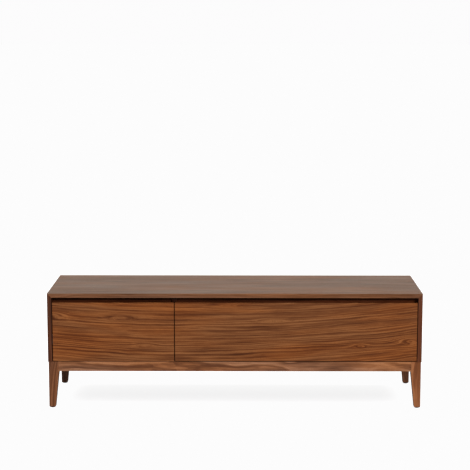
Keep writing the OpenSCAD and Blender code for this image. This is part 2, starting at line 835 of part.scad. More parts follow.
// Slotted arm, drawn flat from its pivot along +Y and then turned into place
module stay_arm(side) {
    length = slot_far + slot_r + 4;
    color(steel) on_bay_side(side)
        translate([arm_in, stay_pivot[0], stay_pivot[1]]) rotate([stay_arm_angle, 0, 0])
            difference() {
                union() {
                    block([0, arm_t], [0, length], [-arm_half, arm_half]);
                    rod_x([0, arm_t], 0, 0, arm_half);
                    rod_x([0, arm_t], length, 0, arm_half);
                }
                rod_x([-eps, arm_t + eps], 0, 0, rivet_r + hinge_clear);
                block([-eps, arm_t + eps], [slot_near - slot_spare, slot_far + slot_spare],
                      [-slot_r, slot_r]);
                rod_x([-eps, arm_t + eps], slot_near - slot_spare, 0, slot_r);
                rod_x([-eps, arm_t + eps], slot_far + slot_spare, 0, slot_r);
            }
}

module stay_arm_left() { stay_arm(-1); }
module stay_arm_right() { stay_arm(1); }

// Headed pins on the bay's walls that the slots slide over
module stay_pins() {
    color(steel) {
        stay_pin_roots();
        for (side = [-1, 1]) on_bay_side(side) {
            rod_x([arm_out, inner_x], stay_pin[0], stay_pin[1], arm_half);
            rod_x([arm_in - stay_play, arm_out], stay_pin[0], stay_pin[1], pin_r);
            rod_x([arm_in - stay_play - pin_head[1], arm_in - stay_play], stay_pin[0],
                  stay_pin[1], pin_head[0]);
        }
    }
}

// ---- Catch and pads ----

module catch_magnet() {
    color(steel) block([bay_mid_x - catch_w / 2 + magnet_in, bay_mid_x + catch_w / 2 - magnet_in],
                       [front_y_span[1] + strike_t + magnet_gap, rail_y[0] - magnet_back],
                       [catch_z[0] + magnet_wall, catch_z[1] - magnet_wall]);
}

module catch_housing() {
    color(black_plastic) difference() {
        block([bay_mid_x - catch_w / 2, bay_mid_x + catch_w / 2],
              [front_y_span[1] + strike_t + 1, rail_y[0]], catch_z);
        catch_magnet();
    }
}

module strike_plate() {
    color(steel) block([bay_mid_x - catch_w / 2, bay_mid_x + catch_w / 2],
                       [front_y_span[1], front_y_span[1] + strike_t], catch_z);
}

// Soft pads on the partition's front edge, behind the two fronts
module bumper_pads() {
    color(black_plastic) for (x = [partition_x[0] + pad_in, partition_x[1] - pad_in], z = pad_z)
        rod_y(x, [front_y_span[1] + pad_gap, board_front_y], z, pad_r);
}

top_panel();
left_side_panel();
right_side_panel();
bottom_panel();
centre_partition();
back_panel_left();
back_panel_right();
front_rail_left();
front_rail_right();
rear_rail_left();
rear_rail_right();
shelf();
shelf_pins();
cable_grommets();
mitre_splines();
case_dowels();
back_panel_screws();
front_apron();
rear_apron();
left_apron();
right_apron();
leg_front_left();
leg_front_right();
leg_rear_left();
leg_rear_right();
corner_blocks();
cross_rail_left();
cross_rail_right();
base_screws();
leg_glides();
runner_case_member_left();
runner_case_member_right();
runner_middle_member_left();
runner_middle_member_right();
runner_drawer_member_left();
runner_drawer_member_right();
runner_ball_cages_left();
runner_ball_cages_right();
drawer_front();
drawer_sub_front();
drawer_side_left();
drawer_side_right();
drawer_back();
drawer_bottom();
drawer_front_screws();
flap_door();
hinge_flap_leaves();
hinge_case_leaves();
hinge_pins();
hinge_flap_screws();
hinge_case_screws();
stay_brackets();
stay_rivets();
stay_arm_left();
stay_arm_right();
stay_pins();
catch_housing();
catch_magnet();
strike_plate();
bumper_pads();
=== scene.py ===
import math

import bmesh
import bpy
from mathutils import Matrix, Vector


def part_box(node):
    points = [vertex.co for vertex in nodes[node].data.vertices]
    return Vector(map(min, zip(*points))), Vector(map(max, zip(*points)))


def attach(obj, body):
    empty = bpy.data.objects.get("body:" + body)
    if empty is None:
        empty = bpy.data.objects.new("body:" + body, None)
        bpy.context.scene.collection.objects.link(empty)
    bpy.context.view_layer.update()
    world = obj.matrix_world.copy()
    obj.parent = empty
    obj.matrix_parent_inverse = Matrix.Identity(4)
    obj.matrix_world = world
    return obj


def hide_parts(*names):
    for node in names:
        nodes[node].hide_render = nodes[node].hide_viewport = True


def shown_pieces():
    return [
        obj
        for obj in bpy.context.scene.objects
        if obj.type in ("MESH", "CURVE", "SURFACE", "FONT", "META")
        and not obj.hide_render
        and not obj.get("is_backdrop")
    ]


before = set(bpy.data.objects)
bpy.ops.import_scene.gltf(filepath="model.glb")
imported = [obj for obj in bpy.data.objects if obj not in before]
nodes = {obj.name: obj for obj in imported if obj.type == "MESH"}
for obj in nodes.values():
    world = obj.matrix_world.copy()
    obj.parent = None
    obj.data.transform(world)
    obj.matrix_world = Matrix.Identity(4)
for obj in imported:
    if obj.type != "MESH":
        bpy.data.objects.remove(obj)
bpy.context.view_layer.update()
scene = bpy.context.scene


# ---------------------------------------------------------------- shader building

class Shader:
    """One material's node tree, with a short call for each kind of node."""

    def __init__(self, name, tree=None):
        if tree is None:
            self.material = bpy.data.materials.new(name)
            self.material.use_nodes = True
            tree = self.material.node_tree
        self.tree = tree
        self.tree.nodes.clear()

    def feed(self, socket, value):
        if isinstance(value, bpy.types.NodeSocket):
            self.tree.links.new(value, socket)
        else:
            socket.default_value = value

    def node(self, kind, settings=(), **inputs):
        made = self.tree.nodes.new("ShaderNode" + kind)
        for key, value in dict(settings).items():
            setattr(made, key, value)
        for key, value in inputs.items():
            self.feed(made.inputs[key.replace("_", " ")], value)
        return made

    def math(self, operation, *values):
        made = self.node("Math", {"operation": operation})
        for socket, value in zip(made.inputs, values):
            self.feed(socket, value)
        return made.outputs[0]

    def vector(self, operation, *values):
        made = self.node("VectorMath", {"operation": operation})
        for socket, value in zip(made.inputs, values):
            self.feed(socket, value)
        return made.outputs["Value" if operation == "DOT_PRODUCT" else "Vector"]

    def split(self, vector):
        return self.node("SeparateXYZ", Vector=vector).outputs

    def join(self, x, y, z):
        return self.node("CombineXYZ", X=x, Y=y, Z=z).outputs[0]

    def mix(self, factor, first, second, blend="MIX"):
        made = self.node("Mix", {"data_type": "RGBA", "blend_type": blend})
        self.feed(made.inputs[0], factor)
        self.feed(made.inputs[6], first)
        self.feed(made.inputs[7], second)
        return made.outputs[2]

    def ramp(self, factor, stops):
        made = self.node("ValToRGB", Fac=factor)
        ramp = made.color_ramp
        while len(ramp.elements) < len(stops):
            ramp.elements.new(0.5)
        for element, (position, color) in zip(ramp.elements, stops):
            element.position = position
            element.color = color
        return made.outputs[0]

    def span(self, value, low, high, to_low=0.0, to_high=1.0, smooth=True):
        """value taken from low..high to to_low..to_high, and held at the ends."""
        kind = "SMOOTHSTEP" if smooth else "LINEAR"
        made = self.node("MapRange", {"interpolation_type": kind})
        for socket, number in zip(made.inputs, (value, low, high, to_low, to_high)):
            self.feed(socket, number)
        return made.outputs[0]

    def noise(self, vector, stretch=(1, 1, 1), detail=2.0, rough=0.5, color=False):
        scaled = self.vector("MULTIPLY", vector, stretch)
        made = self.node("TexNoise", Vector=scaled, Scale=1.0, Detail=detail,
                         Roughness=rough)
        return made.outputs["Color" if color else "Fac"]

    def line_noise(self, value, detail=2.0, rough=0.5):
        made = self.node("TexNoise", {"noise_dimensions": "1D"}, W=value, Scale=1.0,
                         Detail=detail, Roughness=rough)
        return made.outputs["Fac"]

    def edges(self, reach):
        """0 on flat ground, rising to 1 within reach of an outside edge."""
        near = self.node("Bevel", {"samples": 4}, Radius=reach).outputs[0]
        true = self.node("NewGeometry").outputs["True Normal"]
        return self.span(self.vector("DOT_PRODUCT", near, true), 1.0, 0.72)

    def finish(self, **inputs):
        shader = self.node("BsdfPrincipled")
        for key, value in inputs.items():
            self.feed(shader.inputs[key.replace("_", " ")], value)
        out = self.node("OutputMaterial")
        self.tree.links.new(shader.outputs[0], out.inputs["Surface"])
        return self.material


def rgb(red, green, blue):
    return (red, green, blue, 1.0)


def scaled(color, factor):
    return tuple(channel * factor for channel in color[:3]) + (1.0,)


# ---------------------------------------------------------------- wood

GRAIN_ORDER = {"X": (0, 2, 1), "Y": (1, 0, 2), "Z": (2, 0, 1)}
# painted shade: colours multiplied into faces that look into the case's gaps and recess,
# so they read dark as if shaded; the darker one is for the base frame's top face under
# the fronts
INSIDE_PAINTED_SHADE = rgb(0.42, 0.40, 0.40)
UNSEEN_PAINTED_SHADE = rgb(0.12, 0.11, 0.10)
YEAR_SHARE, STREAK_SHARE, FIBRE_SHARE, PATCH_SHARE = 0.45, 0.45, 0.16, 0.16
LATE_WOOD_DARK = 0.055
TONE_STOPS = (0.395, 0.51, 0.635)
PORE_DARK, END_GRAIN_DARK = 0.55, 0.45
PORE_DEPTH = 0.00035
WORN_REACH = 0.0022
LACQUER_IOR = 1.3


def wood(name, along, tones, seed=(0.0, 0.0, 0.0), pith=(0.0, 0.0), ring=0.007,
         wander=0.016, bow=(0.0, 0.0), knots=(), roughness=0.45, specular=0.5,
         wear=0.35, painted_shade_facing=None, painted_shade=INSIDE_PAINTED_SHADE):
    """Sliced or solid timber whose grain runs along one axis of the frame.
    pith is where the tree's centre lies across the grain, ring the width of a year's
    growth, wander how far the grain strays, bow a long bend of the grain as
    (curvature, where it is level) and knots are local figures in it, each one
    (along, across, half length, half height, lift). The last two arguments are the
    (axis, sign) that the faces given painted shade look towards, and the colour
    multiplied into those faces as painted shade of the gaps and recess they face."""
    s = Shader(name)
    place = s.node("TexCoord").outputs["Object"]
    parts = s.split(place)
    u, a, b = (parts[i] for i in GRAIN_ORDER[along])
    raw = s.vector("ADD", s.join(u, a, b), seed)

    # the grain's own coordinates, bent as the tree grew
    slow = s.noise(raw, (1.7, 8.0, 8.0), 2.0, 0.5, color=True)
    quick = s.noise(raw, (7.0, 30.0, 30.0), 2.0, 0.5, color=True)
    slow = s.vector("MULTIPLY", s.vector("SUBTRACT", slow, (0.5, 0.5, 0.5)),
                    (0.0, 2 * wander, 2 * wander))
    quick = s.vector("MULTIPLY", s.vector("SUBTRACT", quick, (0.5, 0.5, 0.5)),
                     (0.0, 0.45 * wander, 0.45 * wander))
    bent = s.vector("ADD", s.vector("ADD", s.join(u, a, b), slow), quick)
    bu, ba, bb = s.split(bent)
    if bow[0]:
        off = s.math("SUBTRACT", u, bow[1])
        sag = s.math("MULTIPLY", s.math("MULTIPLY", off, off), bow[0])
        ba = s.math("SUBTRACT", ba, sag)
    for along_at, across_at, half_long, half_high, lift in knots:
        du = s.math("DIVIDE", s.math("SUBTRACT", u, along_at), half_long)
        da = s.math("DIVIDE", s.math("SUBTRACT", a, across_at), half_high)
        square = s.math("ADD", s.math("MULTIPLY", du, du), s.math("MULTIPLY", da, da))
        bump = s.math("EXPONENT", s.math("MULTIPLY", square, -1.0))
        side = s.math("MULTIPLY", s.math("MULTIPLY", da, bump), -lift)
        ba = s.math("ADD", ba, side)
        bb = s.math("ADD", bb, s.math("MULTIPLY", bump, lift))
    bent = s.vector("ADD", s.join(bu, ba, bb), seed)

    # year rings about the pith, each of its own darkness
    ra = s.math("SUBTRACT", ba, pith[0])
    rb = s.math("SUBTRACT", bb, pith[1])
    radius = s.math("SQRT", s.math("ADD", s.math("MULTIPLY", ra, ra),
                                   s.math("MULTIPLY", rb, rb)))
    years = s.math("DIVIDE", radius, ring)
    growth = s.line_noise(years, 3.0, 0.62)
    late = s.math("FRACT", s.math("MULTIPLY_ADD", growth, 1.5,
                                  s.math("MULTIPLY", years, 0.8)))
    late = s.span(late, 0.72, 1.0)

    streak = s.noise(bent, (3.0, 105.0, 105.0), 4.0, 0.62)
    fibre = s.noise(bent, (16.0, 620.0, 620.0), 3.0, 0.6)
    tone = s.math("MULTIPLY", growth, YEAR_SHARE)
    tone = s.math("MULTIPLY_ADD", streak, STREAK_SHARE, tone)
    tone = s.math("MULTIPLY_ADD", fibre, FIBRE_SHARE, tone)
    tone = s.math("MULTIPLY_ADD", late, -LATE_WOOD_DARK, tone)
    patch = s.noise(bent, (5.0, 34.0, 34.0), 2.0, 0.5)
    tone = s.math("MULTIPLY_ADD", s.math("SUBTRACT", patch, 0.5), PATCH_SHARE, tone)
    dark, middle, light = tones
    color = s.ramp(tone, list(zip(TONE_STOPS, (dark, middle, light))))

    # redder and yellower zones, a hand's breadth high and an arm long
    zone = s.noise(bent, (1.3, 11.0, 11.0), 2.0, 0.5)
    cool = s.mix(1.0, color, rgb(0.90, 0.98, 1.12), "MULTIPLY")
    warm = s.mix(1.0, color, rgb(1.10, 1.03, 0.88), "MULTIPLY")
    color = s.mix(s.span(zone, 0.36, 0.64), cool, warm)

    # open pores: short dark scratches with the grain
    pore = s.noise(bent, (230.0, 2700.0, 2700.0), 1.0, 0.4)
    pore = s.span(pore, 0.60, 0.70)
    pore = s.math("MULTIPLY", pore, s.span(growth, 0.35, 0.65, 0.25, 1.0))
    color = s.mix(s.math("MULTIPLY", pore, PORE_DARK), color, scaled(dark, 0.35))

    # end grain drinks more finish and reads darker
    facing = s.split(s.node("TexCoord").outputs["Normal"])
    end = s.math("ABSOLUTE", facing[GRAIN_ORDER[along][0]])
    end = s.span(end, 0.75, 0.95)
    color = s.mix(s.math("MULTIPLY", end, END_GRAIN_DARK), color, scaled(dark, 0.8))

    # painted shade: faces turned the given way are multiplied by a dark colour, standing
    # for the shade in the gaps and recess they look into
    if painted_shade_facing:
        axis, sign = painted_shade_facing
        painted_shade_mask = s.math("MULTIPLY", facing["XYZ".index(axis)], sign)
        color = s.mix(s.span(painted_shade_mask, 0.35, 0.75), color, painted_shade, "MULTIPLY")

    # edges rubbed a little paler
    if wear:
        rubbed = s.noise(raw, (60.0, 60.0, 60.0), 3.0, 0.6)
        rubbed = s.math("MULTIPLY", s.edges(WORN_REACH),
                        s.span(rubbed, 0.42, 0.62, 0.15, 1.0))
        color = s.mix(s.math("MULTIPLY", rubbed, wear), color, scaled(light, 1.25))

    smear = s.noise(raw, (3.0, 14.0, 14.0), 3.0, 0.55)
    gloss = s.span(smear, 0.3, 0.7, roughness - 0.05, roughness + 0.05, smooth=False)
    gloss = s.math("MULTIPLY_ADD", pore, 0.18, gloss)
    gloss = s.math("MULTIPLY_ADD", fibre, 0.05, gloss)

    relief = s.math("MULTIPLY_ADD", pore, -1.0, s.math("MULTIPLY", fibre, 0.5))
    relief = s.math("MULTIPLY_ADD", streak, 0.35, relief)
    normal = s.node("Bump", Strength=0.3, Distance=PORE_DEPTH, Height=relief).outputs[0]
    return s.finish(Base_Color=color, Roughness=gloss, Normal=normal, IOR=LACQUER_IOR,
                    Specular_IOR_Level=specular)


def plywood(name, through, along, ply, origin):
    """Birch plywood: pale faces with fine grain, and the crossed plies on its edges.
    through is the axis across the sheet, origin the place of one face on it."""
    s = Shader(name)
    place = s.node("TexCoord").outputs["Object"]
    parts = s.split(place)
    u, a, b = (parts[i] for i in GRAIN_ORDER[along])
    flow = s.join(u, a, b)
    drift = s.noise(flow, (2.5, 14.0, 14.0), 2.0, 0.5, color=True)
    drift = s.vector("MULTIPLY", s.vector("SUBTRACT", drift, (0.5, 0.5, 0.5)),
                     (0.0, 0.04, 0.04))
    flow = s.vector("ADD", flow, drift)
    streak = s.noise(flow, (4.0, 60.0, 60.0), 4.0, 0.55)
    fibre = s.noise(flow, (30.0, 700.0, 700.0), 2.0, 0.6)
    tone = s.math("MULTIPLY_ADD", fibre, 0.3, s.math("MULTIPLY", streak, 0.7))
    face = s.ramp(tone, [(0.36, rgb(0.50, 0.34, 0.19)), (0.5, rgb(0.62, 0.45, 0.27)),
                         (0.64, rgb(0.72, 0.56, 0.37))])
    fleck = s.noise(flow, (160.0, 900.0, 900.0), 1.0, 0.4)
    fleck = s.span(fleck, 0.64, 0.72)
    face = s.mix(s.math("MULTIPLY", fleck, 0.35), face, rgb(0.36, 0.22, 0.11))

    depth = parts["XYZ".index(through)]
    count = s.math("DIVIDE", s.math("SUBTRACT", depth, origin), ply)
    layer = s.math("FLOOR", count)
    crossed = s.math("MODULO", s.math("ABSOLUTE", layer), 2.0)
    inside = s.math("FRACT", count)
    glue = s.math("ADD", s.span(inside, 0.10, 0.0), s.span(inside, 0.90, 1.0))
    shade = s.line_noise(s.math("MULTIPLY", layer, 7.3), 0.0)
    edge = s.mix(crossed, rgb(0.60, 0.44, 0.27), rgb(0.38, 0.24, 0.13))
    edge = s.mix(s.span(shade, 0.35, 0.65, 0.0, 0.35), edge, rgb(0.46, 0.31, 0.17))
    edge = s.mix(s.math("MULTIPLY", glue, 0.65), edge, rgb(0.16, 0.09, 0.045))
    speck = s.noise(place, (1500.0, 1500.0, 1500.0), 2.0, 0.6)
    edge = s.mix(s.span(speck, 0.5, 0.72, 0.0, 0.45), edge, rgb(0.26, 0.16, 0.08))
    facing = s.split(s.node("TexCoord").outputs["Normal"])["XYZ".index(through)]
    flat = s.span(s.math("ABSOLUTE", facing), 0.55, 0.8)
    color = s.mix(flat, edge, face)
    gloss = s.span(streak, 0.3, 0.7, 0.40, 0.52, smooth=False)
    relief = s.math("MULTIPLY_ADD", fleck, -0.8, s.math("MULTIPLY", fibre, 0.5))
    normal = s.node("Bump", Strength=0.25, Distance=0.0003, Height=relief).outputs[0]
    return s.finish(Base_Color=color, Roughness=gloss, Normal=normal, IOR=1.45,
                    Specular_IOR_Level=0.4)


# ---------------------------------------------------------------- metal, plastic, pads

def plated_steel(name, along, roughness=0.34, tint=rgb(0.56, 0.57, 0.585)):
    """Zinc-plated steel with drawing lines along one axis and a mottled passivation."""
    s = Shader(name)
    place = s.node("TexCoord").outputs["Object"]
    parts = s.split(place)
    u, a, b = (parts[i] for i in GRAIN_ORDER[along])
    flow = s.join(u, a, b)
    lines = s.noise(flow, (25.0, 2400.0, 2400.0), 3.0, 0.6)
    spangle = s.noise(place, (90.0, 90.0, 90.0), 4.0, 0.6)
    cloud = s.noise(place, (18.0, 18.0, 18.0), 3.0, 0.5)
    color = s.mix(s.span(spangle, 0.35, 0.65), scaled(tint, 0.86), scaled(tint, 1.08))
    color = s.mix(s.span(cloud, 0.45, 0.7, 0.0, 0.35), color, rgb(0.55, 0.53, 0.44))
    color = s.mix(s.math("MULTIPLY", s.edges(0.0008), 0.35), color, rgb(0.74, 0.74, 0.75))
    gloss = s.math("MULTIPLY_ADD", spangle, 0.16, roughness - 0.08)
    gloss = s.math("MULTIPLY_ADD", lines, 0.10, gloss)
    normal = s.node("Bump", Strength=0.2, Distance=0.0001, Height=lines).outputs[0]
    return s.finish(Base_Color=color, Metallic=1.0, Roughness=gloss, Normal=normal)


def moulded_plastic(name, tint, roughness=0.5):
    """Spark-textured moulded plastic, paler where hands and edges rub it."""
    s = Shader(name)
    place = s.node("TexCoord").outputs["Object"]
    grit = s.noise(place, (2600.0, 2600.0, 2600.0), 2.0, 0.6)
    cloud = s.noise(place, (45.0, 45.0, 45.0), 4.0, 0.6)
    color = s.mix(s.span(cloud, 0.35, 0.7), tint, scaled(tint, 1.5))
    color = s.mix(s.math("MULTIPLY", s.edges(0.0009), 0.4), color, scaled(tint, 3.2))
    gloss = s.math("MULTIPLY_ADD", grit, 0.22, roughness - 0.08)
    normal = s.node("Bump", Strength=0.35, Distance=0.00012, Height=grit).outputs[0]
    return s.finish(Base_Color=color, Roughness=gloss, Normal=normal, IOR=1.5,
                    Specular_IOR_Level=0.45)


def clear_pad(name):
    """Soft translucent grey bumper pads, faintly dusty."""
    s = Shader(name)
    place = s.node("TexCoord").outputs["Object"]
    dust = s.noise(place, (500.0, 500.0, 500.0), 4.0, 0.65)
    color = s.mix(s.span(dust, 0.42, 0.68), rgb(0.46, 0.46, 0.44), rgb(0.66, 0.65, 0.62))
    gloss = s.span(dust, 0.3, 0.7, 0.24, 0.46, smooth=False)
    normal = s.node("Bump", Strength=0.2, Distance=0.0002, Height=dust).outputs[0]
    return s.finish(Base_Color=color, Roughness=gloss, Normal=normal, IOR=1.42,
                    Subsurface_Weight=0.25, Subsurface_Scale=0.002)


# ---------------------------------------------------------------- the timbers used

FRONT_TONES = (rgb(0.080, 0.0200, 0.0050), rgb(0.188, 0.0560, 0.0150),
               rgb(0.325, 0.115, 0.0340))
# the top's walnut tones, made paler and greyer than the fronts' as a painted sheen
# standing partly for the grazing reflection on its lacquer
TOP_TONES_WITH_PAINTED_SHEEN = (rgb(0.115, 0.042, 0.017), rgb(0.176, 0.069, 0.030),
              rgb(0.250, 0.105, 0.050))
SIDE_TONES = (rgb(0.058, 0.016, 0.0065), rgb(0.092, 0.027, 0.0105),
              rgb(0.140, 0.044, 0.019))
BASE_TONES = (rgb(0.120, 0.043, 0.019), rgb(0.272, 0.107, 0.046),
              rgb(0.440, 0.196, 0.096))
LEG_TONES = (rgb(0.100, 0.034, 0.014), rgb(0.158, 0.056, 0.023),
             rgb(0.245, 0.098, 0.045))
# the rails' own dark walnut, made darker still as painted shade of the recess above the
# fronts
RAIL_TONES_AND_PAINTED_SHADE = (rgb(0.025, 0.0055, 0.0016), rgb(0.048, 0.0115, 0.0038),
              rgb(0.080, 0.0220, 0.0085))
INSIDE_TONES = (rgb(0.030, 0.013, 0.007), rgb(0.052, 0.023, 0.012),
                rgb(0.080, 0.038, 0.021))

# figures in the two fronts' veneer: (x, z, half length, half height, lift)
FRONT_KNOTS = (
    (-0.775, 0.400, 0.050, 0.022, 0.020),
    (-0.482, 0.393, 0.060, 0.013, 0.016),
    (-0.386, 0.274, 0.045, 0.012, 0.014),
    (-0.030, 0.448, 0.060, 0.010, 0.012),
    (0.165, 0.382, 0.070, 0.013, 0.014),
    (0.535, 0.271, 0.035, 0.011, 0.018),
    (0.744, 0.292, 0.045, 0.018, 0.024),
)


def use(material, *names):
    for name in names:
        mesh = nodes[name].data
        mesh.materials.clear()
        mesh.materials.append(material)


use(wood("walnut_fronts", "X", FRONT_TONES, pith=(0.06, -0.11), ring=0.0062,
         bow=(0.067, -0.15), knots=FRONT_KNOTS, roughness=0.50),
    "drawer_front", "flap_door")
# top panel: tones partly painted sheen, and painted shade on its underside over the
# recess above the fronts
use(wood("walnut_top", "X", TOP_TONES_WITH_PAINTED_SHEEN, seed=(3.1, 1.7, 0.4), pith=(0.05, 0.30),
         ring=0.008, wander=0.022, roughness=0.50, painted_shade_facing=("Z", -1)), "top_panel")
# left side: painted shade on its inner face, dark in the gap beside the fronts
use(wood("walnut_side_left", "Z", SIDE_TONES, seed=(5.3, 0.9, 2.2), pith=(-0.6, 0.03),
         ring=0.008, wander=0.02, roughness=0.50, painted_shade_facing=("X", 1)), "left_side_panel")
# right side: a copy of the left side's wood 1.55 times brighter as painted light from the
# right, with painted shade on its inner face
use(wood("walnut_side_right", "Z", [scaled(c, 1.55) for c in SIDE_TONES],
         seed=(7.7, 2.9, 1.2), pith=(0.6, -0.05), ring=0.008, wander=0.02,
         roughness=0.50, painted_shade_facing=("X", -1)), "right_side_panel")
# the legs are lit and shaded copies of one wood: the factors paint light on the right
# front leg and shade on the two rear legs
for count, (name, painted_light_share) in enumerate((("leg_front_left", 1.0), ("leg_front_right", 1.4),
                                       ("leg_rear_left", 0.9), ("leg_rear_right", 0.65))):
    use(wood("walnut_" + name, "Z", [scaled(c, painted_light_share) for c in LEG_TONES],
             seed=(1.3 * count, 2.1 * count, 0.7), pith=(0.9 - 0.05 * count, 0.25),
             ring=0.006, wander=0.014, bow=(0.5, 0.05 * count), roughness=0.48), name)
# front apron: its top face gets the darker painted shade, standing for the shade in the
# gap under the fronts
use(wood("walnut_front_apron", "X", BASE_TONES, seed=(2.3, 6.1, 0.2),
         pith=(0.185, -0.12), ring=0.006, wander=0.020, roughness=0.48, wear=0.1,
         painted_shade_facing=("Z", 1), painted_shade=UNSEEN_PAINTED_SHADE), "front_apron")
use(wood("walnut_rear_apron", "X", BASE_TONES, seed=(4.3, 3.1, 0.9),
         pith=(0.10, 0.12), ring=0.006, wander=0.016, roughness=0.5), "rear_apron")
use(wood("walnut_side_aprons", "Y", BASE_TONES, seed=(0.8, 1.9, 5.2),
         pith=(0.3, 0.1), ring=0.006, wander=0.016, roughness=0.5),
    "left_apron", "right_apron")
use(wood("walnut_cross_rails", "Y", BASE_TONES, seed=(6.8, 0.9, 2.2),
         pith=(0.3, 0.1), ring=0.007, wander=0.014, roughness=0.56),
    "cross_rail_left", "cross_rail_right")
use(wood("walnut_inside_long", "X", INSIDE_TONES, seed=(8.1, 2.2, 3.3),
         pith=(0.4, 0.4), ring=0.009, wander=0.02, roughness=0.62, specular=0.35),
    "bottom_panel", "back_panel_left", "back_panel_right", "rear_rail_left",
    "rear_rail_right", "shelf")
# front rails: rail tones that are partly painted shade of the recess
use(wood("walnut_front_rail_left", "X", RAIL_TONES_AND_PAINTED_SHADE, seed=(2.2, 7.4, 1.8),
         pith=(0.4, 0.4), ring=0.008, roughness=0.6, specular=0.1),
    "front_rail_left")
# the right rail is a lighter copy of the left one: painted light where the key reaches
# the right bay's recess
use(wood("walnut_front_rail_right", "X", [scaled(c, 1.4) for c in RAIL_TONES_AND_PAINTED_SHADE],
         seed=(2.2, 7.4, 1.8), pith=(0.4, 0.4), ring=0.008, roughness=0.6, specular=0.1),
    "front_rail_right")
# partition: rail tones darkened further as painted shade, so its front end reads dark in
# the gap between the fronts
use(wood("walnut_inside_upright", "Z", [scaled(c, 0.7) for c in RAIL_TONES_AND_PAINTED_SHADE],
         seed=(1.1, 4.2, 6.3),
         pith=(0.4, 0.4), ring=0.009, wander=0.02, roughness=0.62, specular=0.35),
    "centre_partition")
use(wood("walnut_keys", "X", BASE_TONES, seed=(9.9, 4.4, 1.3), pith=(0.1, 0.2),
         roughness=0.5), "mitre_splines")

use(plywood("birch_sides", "X", "Y", 0.0015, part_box("drawer_side_left")[0].x),
    "drawer_side_left", "drawer_side_right")
use(plywood("birch_cross", "Y", "X", 0.0015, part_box("drawer_sub_front")[0].y),
    "drawer_sub_front", "drawer_back")
use(plywood("birch_bottom", "Z", "Y", 0.0012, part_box("drawer_bottom")[0].z),
    "drawer_bottom")
use(plywood("birch_solid", "Y", "Z", 0.02, 0.0), "case_dowels", "corner_blocks")

use(plated_steel("steel_drawn", "Y"),
    *[n for n in nodes if n.startswith("runner_") and "cages" not in n])
use(plated_steel("steel_hinges", "X", 0.30), "hinge_flap_leaves", "hinge_case_leaves",
    "hinge_pins", "catch_magnet", "strike_plate")
use(plated_steel("steel_stays", "Z", 0.32), "stay_brackets", "stay_arm_left",
    "stay_arm_right", "stay_pins", "stay_rivets", "shelf_pins")
use(plated_steel("steel_screws", "Z", 0.36, rgb(0.50, 0.49, 0.46)),
    "back_panel_screws", "base_screws", "drawer_front_screws", "hinge_flap_screws",
    "hinge_case_screws")
use(moulded_plastic("black_plastic", rgb(0.012, 0.012, 0.0125)),
    "cable_grommets", "leg_glides", "catch_housing")
use(moulded_plastic("cage_plastic", rgb(0.30, 0.30, 0.29), 0.42),
    "runner_ball_cages_left", "runner_ball_cages_right")
use(clear_pad("clear_pads"), "bumper_pads")


# ---------------------------------------------------------------- softened edges

WELD_REACH = 0.000005
BOARD_EASE = 0.0008
EASED_ANGLE = 35.0


def soften(name):
    piece = nodes[name]
    weld = piece.modifiers.new("weld", "WELD")
    weld.merge_threshold = WELD_REACH
    bevel = piece.modifiers.new("eased edges", "BEVEL")
    bevel.width = BOARD_EASE
    bevel.segments = 2
    bevel.limit_method = "ANGLE"
    bevel.angle_limit = math.radians(EASED_ANGLE)
    bevel.harden_normals = True
    bevel.use_clamp_overlap = True
    bevel.miter_outer = "MITER_ARC"


for name in ("top_panel", "left_side_panel", "right_side_panel", "bottom_panel",
             "centre_partition", "shelf", "drawer_front", "flap_door",
             "front_apron", "rear_apron", "left_apron", "right_apron",
             "leg_front_left", "leg_front_right", "leg_rear_left", "leg_rear_right",
             "cross_rail_left", "cross_rail_right", "front_rail_left",
             "front_rail_right", "rear_rail_left", "rear_rail_right",
             "drawer_side_left", "drawer_side_right", "drawer_back",
             "drawer_sub_front"):
    soften(name)


# ---------------------------------------------------------------- screw heads

TURNED_SIDES = 40
SCREW_TURN = 1.1                      # radians from one recess to the next
SHARP = 0.6                           # radians at which a screw's edge stays crisp


def turned(profile):
    """A closed solid turned about Z from (radius, height) points, both ends on Z."""
    mesh = bmesh.new()
    rings = []
    for radius, height in profile:
        if radius == 0.0:
            rings.append([mesh.verts.new((0.0, 0.0, height))])
            continue
        ring = []
        for step in range(TURNED_SIDES):
            angle = 2 * math.pi * step / TURNED_SIDES
            ring.append(mesh.verts.new((radius * math.cos(angle),
                                        radius * math.sin(angle), height)))
        rings.append(ring)
    for low, high in zip(rings, rings[1:]):
        for step in range(TURNED_SIDES):
            after = (step + 1) % TURNED_SIDES
            corners = [low[step % len(low)], low[after % len(low)],
                       high[after % len(high)], high[step % len(high)]]
            mesh.faces.new(list(dict.fromkeys(corners)))
    bmesh.ops.recalc_face_normals(mesh, faces=mesh.faces)
    return mesh


def as_object(name, mesh):
    data = bpy.data.meshes.new(name)
    mesh.to_mesh(data)
    mesh.free()
    made = bpy.data.objects.new(name, data)
    scene.collection.objects.link(made)
    return made


